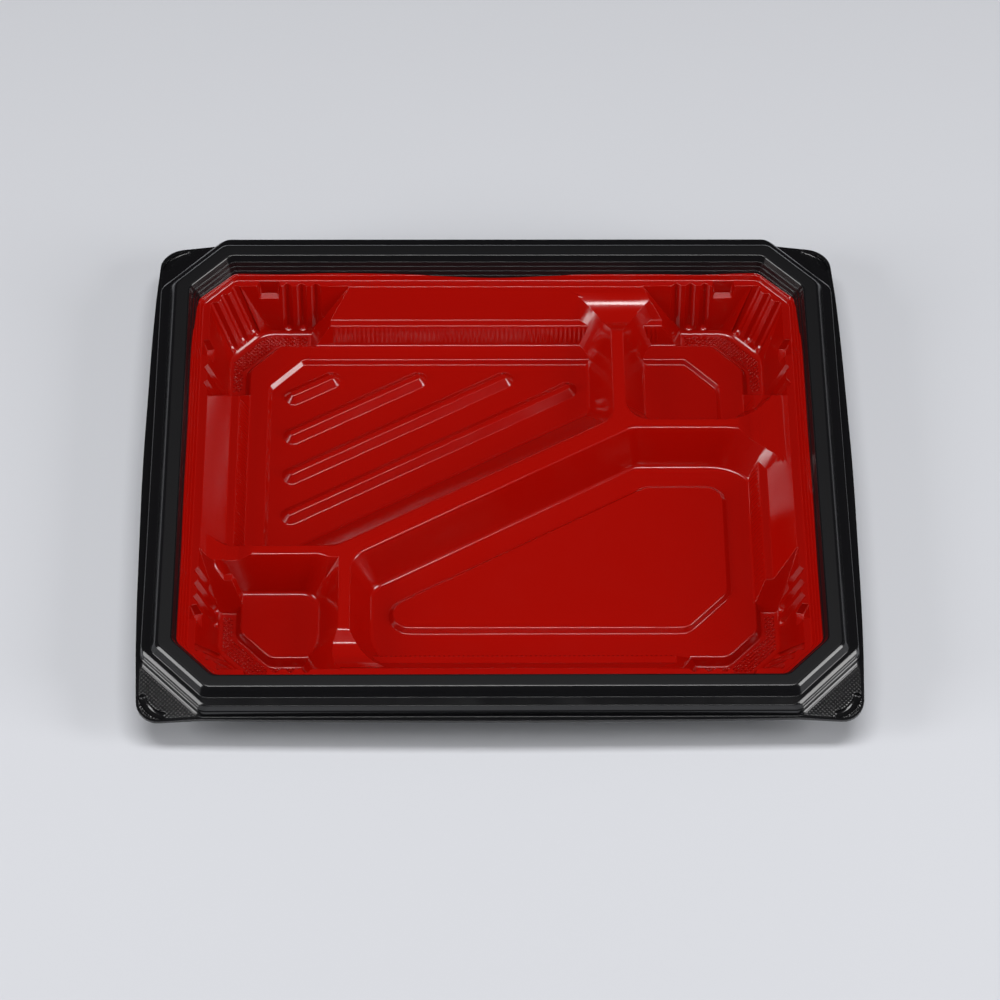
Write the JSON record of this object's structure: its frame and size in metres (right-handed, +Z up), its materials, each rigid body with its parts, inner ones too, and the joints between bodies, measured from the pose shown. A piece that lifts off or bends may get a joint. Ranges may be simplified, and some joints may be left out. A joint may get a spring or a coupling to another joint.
{
  "type": "bento tray",
  "caption": "Shallow oblong food tray with cut corners, ribbed wall, stepped rim and flange, corner feet, low dividers between compartments and a printed inner film.",
  "frame": {"origin": "centre of the tray's footprint, on the plane of the four corner feet", "axes": "+Z up, +X along the long side to the right as the tray is used, +Y to the rear"},
  "size_m": [0.2418, 0.197, 0.0286],
  "materials": {
    "black_sheet": "black polystyrene sheet, glossy on the skirt and satin on the rim crest",
    "red_film": "deep red printed film with a satin face"
  },
  "bodies": {
    "root": {"base_sheet": "black_sheet", "lining_film": "red_film"}
  },
  "joints": []
}
